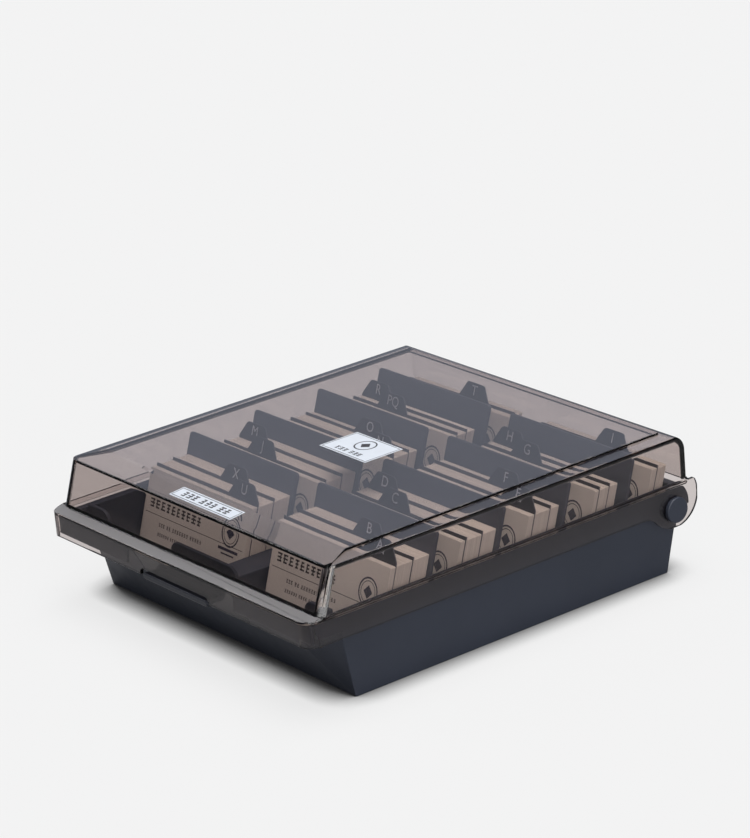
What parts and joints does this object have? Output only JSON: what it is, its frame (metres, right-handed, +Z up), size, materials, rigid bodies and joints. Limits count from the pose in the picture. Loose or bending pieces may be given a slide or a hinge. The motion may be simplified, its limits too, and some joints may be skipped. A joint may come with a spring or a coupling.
{
  "type": "business card box",
  "caption": "Shallow desk box for name cards: a dark tray with leaning, divided card columns and index guides under a hinged see-through smoke lid with a front thumb latch.",
  "frame": {"origin": "on the standing plane, at the middle of the box's width and of its depth from the lid's front to the hinge ears", "axes": "+X across the box to the right as seen from the front, +Y from the front to the hinge at the back, +Z up"},
  "size_m": [0.229, 0.2476, 0.075],
  "materials": {
    "tray_plastic": "fine matt moulded slate grey",
    "lid_plastic": "polished see-through smoke brown",
    "divider_plastic": "smooth slate grey sheet",
    "guide_plastic": "smooth dark grey sheet with pale letters",
    "card_stock": "uncoated buff card",
    "label_film": "satin white film"
  },
  "bodies": {
    "tray": {"base_tray": "tray_plastic", "front_stop": "tray_plastic", "hinge_pins": "tray_plastic", "divider_l1": "divider_plastic", "divider_l2": "divider_plastic", "divider_l3": "divider_plastic", "divider_l4": "divider_plastic", "divider_r1": "divider_plastic", "divider_r2": "divider_plastic", "divider_r3": "divider_plastic", "divider_r4": "divider_plastic", "guide_l1a": "guide_plastic", "guide_l1b": "guide_plastic", "guide_l2a": "guide_plastic", "guide_l2b": "guide_plastic", "guide_l3a": "guide_plastic", "guide_l3b": "guide_plastic", "guide_l4a": "guide_plastic", "guide_l4b": "guide_plastic", "guide_l5a": "guide_plastic", "guide_r1a": "guide_plastic", "guide_r1b": "guide_plastic", "guide_r2a": "guide_plastic", "guide_r2b": "guide_plastic", "guide_r3a": "guide_plastic", "guide_r3b": "guide_plastic", "guide_r4a": "guide_plastic", "guide_r4b": "guide_plastic", "guide_r5a": "guide_plastic", "cards_l1a": "card_stock", "cards_l1b": "card_stock", "cards_l1c": "card_stock", "cards_l2a": "card_stock", "cards_l2b": "card_stock", "cards_l2c": "card_stock", "cards_l3a": "card_stock", "cards_l3b": "card_stock", "cards_l3c": "card_stock", "cards_l4a": "card_stock", "cards_l4b": "card_stock", "cards_l4c": "card_stock", "cards_l5a": "card_stock", "cards_l5b": "card_stock", "cards_r1a": "card_stock", "cards_r1b": "card_stock", "cards_r1c": "card_stock", "cards_r2a": "card_stock", "cards_r2b": "card_stock", "cards_r2c": "card_stock", "cards_r3a": "card_stock", "cards_r3b": "card_stock", "cards_r3c": "card_stock", "cards_r4a": "card_stock", "cards_r4b": "card_stock", "cards_r4c": "card_stock", "cards_r5a": "card_stock", "cards_r5b": "card_stock"},
    "latch": {"latch_tongue": "tray_plastic"},
    "lid": {"lid": "lid_plastic", "lid_labels": "label_film"}
  },
  "joints": [
    {"name": "lid_hinge", "type": "hinge", "parent": "tray", "child": "lid", "pos_m": [0, 0.1078, 0.0363], "axis": [-1, 0, 0], "range_deg": [0, 110]},
    {"name": "latch_flex", "type": "hinge", "parent": "tray", "child": "latch", "pos_m": [0, -0.10709, 0.02657], "axis": [-1, 0, 0], "range_deg": [0, 4], "stiffness_Nm_per_rad": 1.5}
  ]
}
